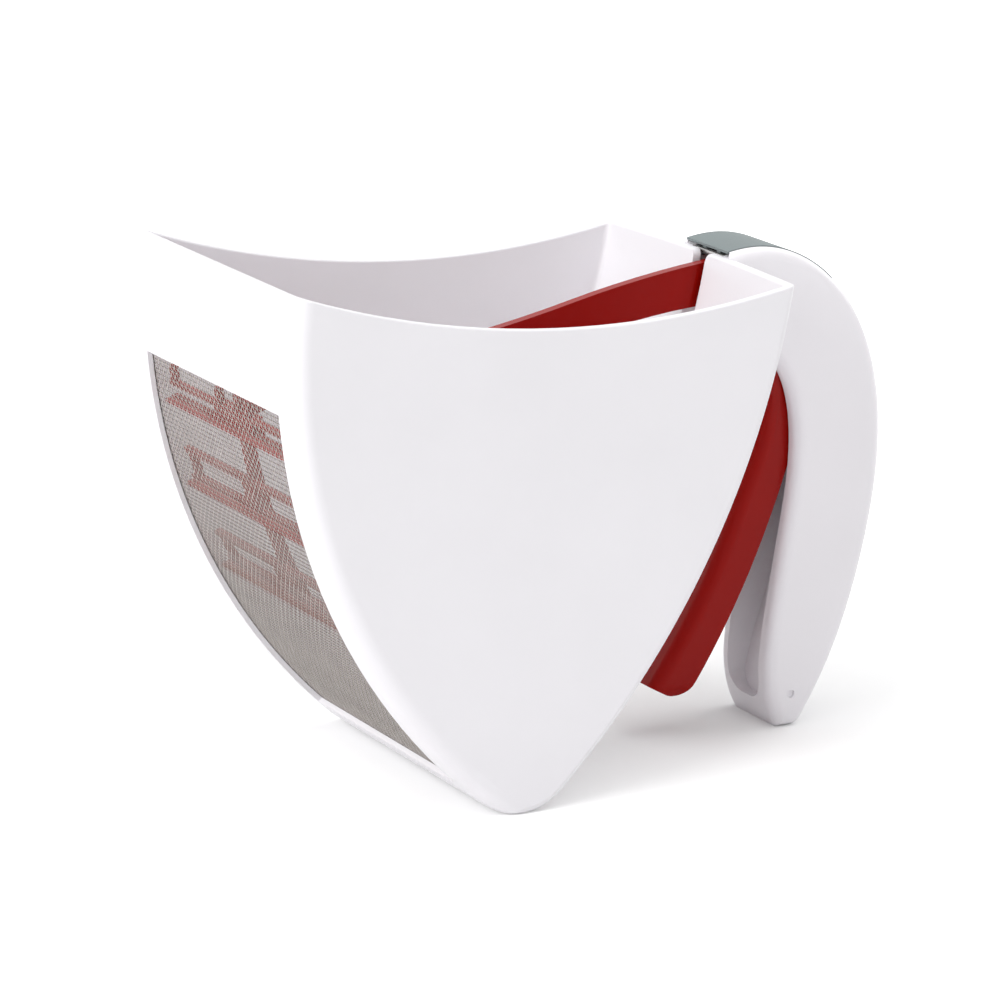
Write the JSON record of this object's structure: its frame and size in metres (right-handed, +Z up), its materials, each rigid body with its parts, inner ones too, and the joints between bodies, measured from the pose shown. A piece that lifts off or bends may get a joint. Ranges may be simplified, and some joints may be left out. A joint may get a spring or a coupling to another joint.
{
  "type": "trigger flour sifter",
  "caption": "Hand-held flour sifter: a deep square-topped scoop with a curved mesh front, a C-shaped handle, and a squeeze trigger that swings an agitator rake down behind the mesh.",
  "frame": {"origin": "on the surface that the sifter stands on, under the middle of its length and width", "axes": "+Z up, +X from the mesh window towards the handle, +Y across the width"},
  "size_m": [0.2118, 0.11, 0.156],
  "materials": {
    "white_body": "smooth, lightly glossy white moulded plastic",
    "white_handle": "smooth, lightly glossy white moulded plastic",
    "grey_cap": "fine matt slate-grey moulded plastic",
    "red_plastic": "smooth deep red moulded plastic",
    "red_wiper": "soft red silicone",
    "steel_mesh": "plain woven stainless wire",
    "steel": "bright turned steel",
    "spring_steel": "drawn spring wire",
    "nylon": "natural nylon"
  },
  "bodies": {
    "body": {"hopper": "white_body", "mesh_screen": "steel_mesh", "handle_shell": "white_handle", "handle_cap": "grey_cap", "stop_rod": "steel", "pivot_pin": "steel", "spacer_near": "nylon", "spacer_far": "nylon", "return_spring": "spring_steel", "handle_screws": "steel"},
    "agitator": {"trigger": "red_plastic", "hub_bush": "nylon", "agitator_arm": "red_plastic", "arm_screws": "steel", "rake_beam_upper": "red_plastic", "rake_beam_middle": "red_plastic", "rake_beam_lower": "red_plastic", "wiper_upper": "red_wiper", "wiper_middle": "red_wiper", "wiper_lower": "red_wiper"}
  },
  "joints": [
    {"name": "trigger_pivot", "type": "hinge", "parent": "body", "child": "agitator", "pos_m": [0.06907, 0, 0.1355], "axis": [0, -1, 0], "range_deg": [0, 12], "stiffness_Nm_per_rad": 0.9, "springref_deg": -17.19, "deforming": ["return_spring"]}
  ]
}
